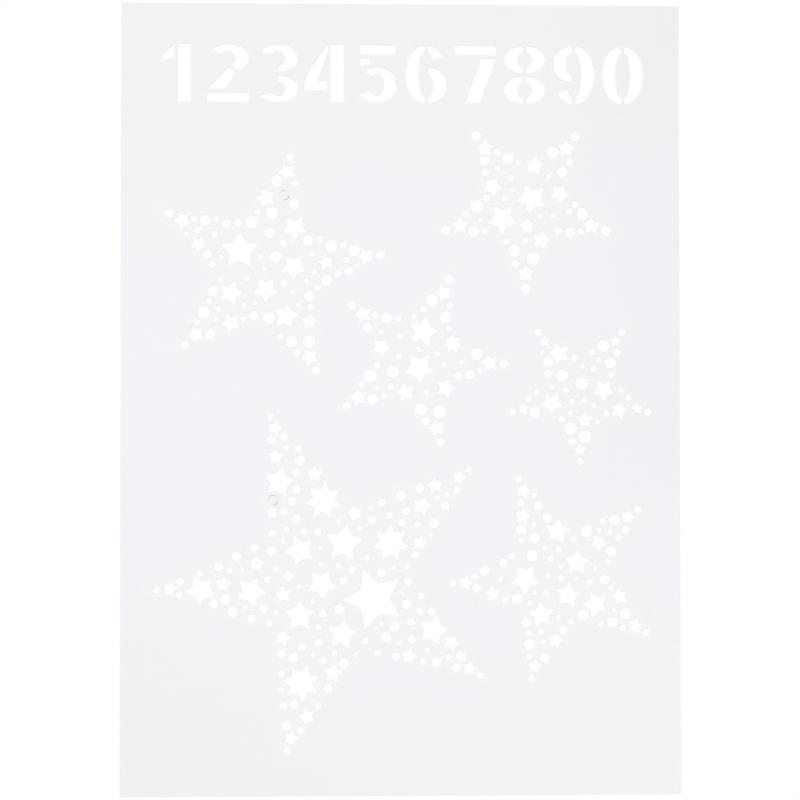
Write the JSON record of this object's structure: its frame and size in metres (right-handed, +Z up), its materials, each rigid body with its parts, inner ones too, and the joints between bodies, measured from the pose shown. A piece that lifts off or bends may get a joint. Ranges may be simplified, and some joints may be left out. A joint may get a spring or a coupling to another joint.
{
  "type": "star stencil",
  "caption": "Flat A4 craft stencil: a thin frosted plastic sheet with star figures made of small cut-outs and a row of bridged numerals.",
  "frame": {"origin": "centre of the sheet's underside, on the surface that it lies on", "axes": "+X along the short side to the right as the numerals are read, +Y along the long side towards the numerals, +Z up through the thickness"},
  "size_m": [0.21, 0.297, 0.0005],
  "materials": {
    "frosted_plastic": "frosted, translucent, satin"
  },
  "bodies": {
    "sheet": {"stencil_sheet": "frosted_plastic"},
    "disc_upper": {"uncleared_disc_upper": "frosted_plastic"},
    "disc_lower": {"uncleared_disc_lower": "frosted_plastic"}
  },
  "joints": [
    {"name": "disc_upper_push_out", "type": "slide", "parent": "sheet", "child": "disc_upper", "axis": [0, 0, 1], "range_m": [0, 0.005]},
    {"name": "disc_lower_push_out", "type": "slide", "parent": "sheet", "child": "disc_lower", "axis": [0, 0, 1], "range_m": [0, 0.005]}
  ]
}
